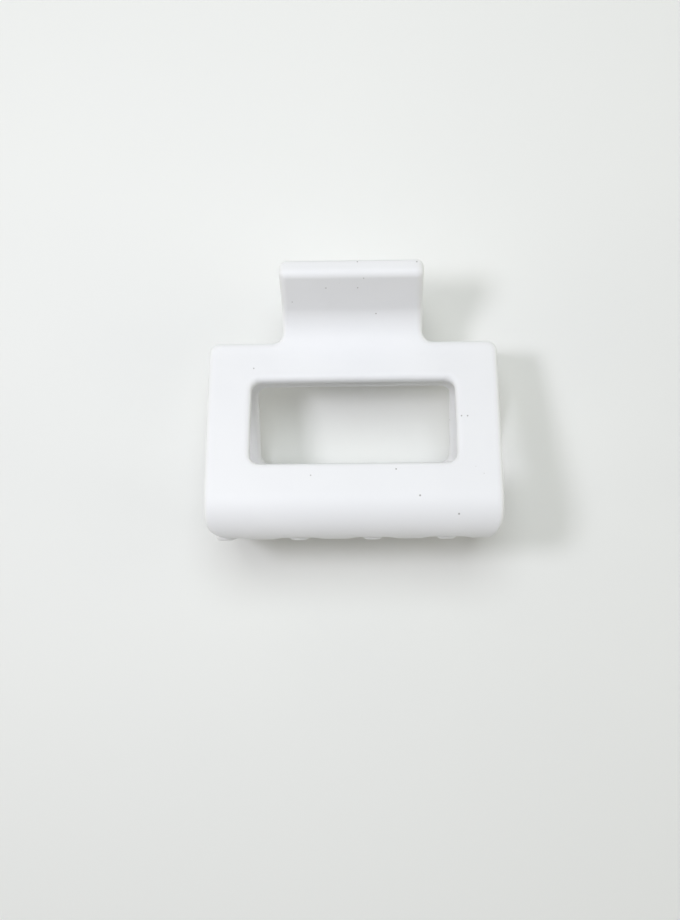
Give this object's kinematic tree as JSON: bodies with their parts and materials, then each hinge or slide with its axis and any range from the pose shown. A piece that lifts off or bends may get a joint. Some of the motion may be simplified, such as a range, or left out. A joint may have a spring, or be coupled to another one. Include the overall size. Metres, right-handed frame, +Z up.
{
  "type": "claw clip",
  "caption": "Rectangular hair claw clip: windowed jaws with interleaved curved teeth and flared thumb tabs, on a sprung pin hinge.",
  "frame": {"origin": "under the middle of the closed clip, in the plane it lies on, which touches its rear jaw at the bend and at the tab's end", "axes": "+X along the hinge pin, +Y from the teeth towards the thumb tabs, +Z up through the rear jaw and then the front jaw"},
  "size_m": [0.07, 0.0665, 0.0436],
  "materials": {
    "jaw": "soft matte white, fine texture",
    "pin": "drawn wire, satin",
    "spring": "drawn spring wire"
  },
  "bodies": {
    "rear": {"rear_jaw": "jaw", "hinge_pin": "pin", "torsion_spring": "spring"},
    "front": {"front_jaw": "jaw"}
  },
  "joints": [
    {"name": "jaw_hinge", "type": "hinge", "parent": "rear", "child": "front", "pos_m": [0, 0.01564, 0.02114], "axis": [-1, 0, 0], "range_deg": [0, 60], "stiffness_Nm_per_rad": 0.12, "springref_deg": -34.38, "deforming": ["torsion_spring"]}
  ]
}
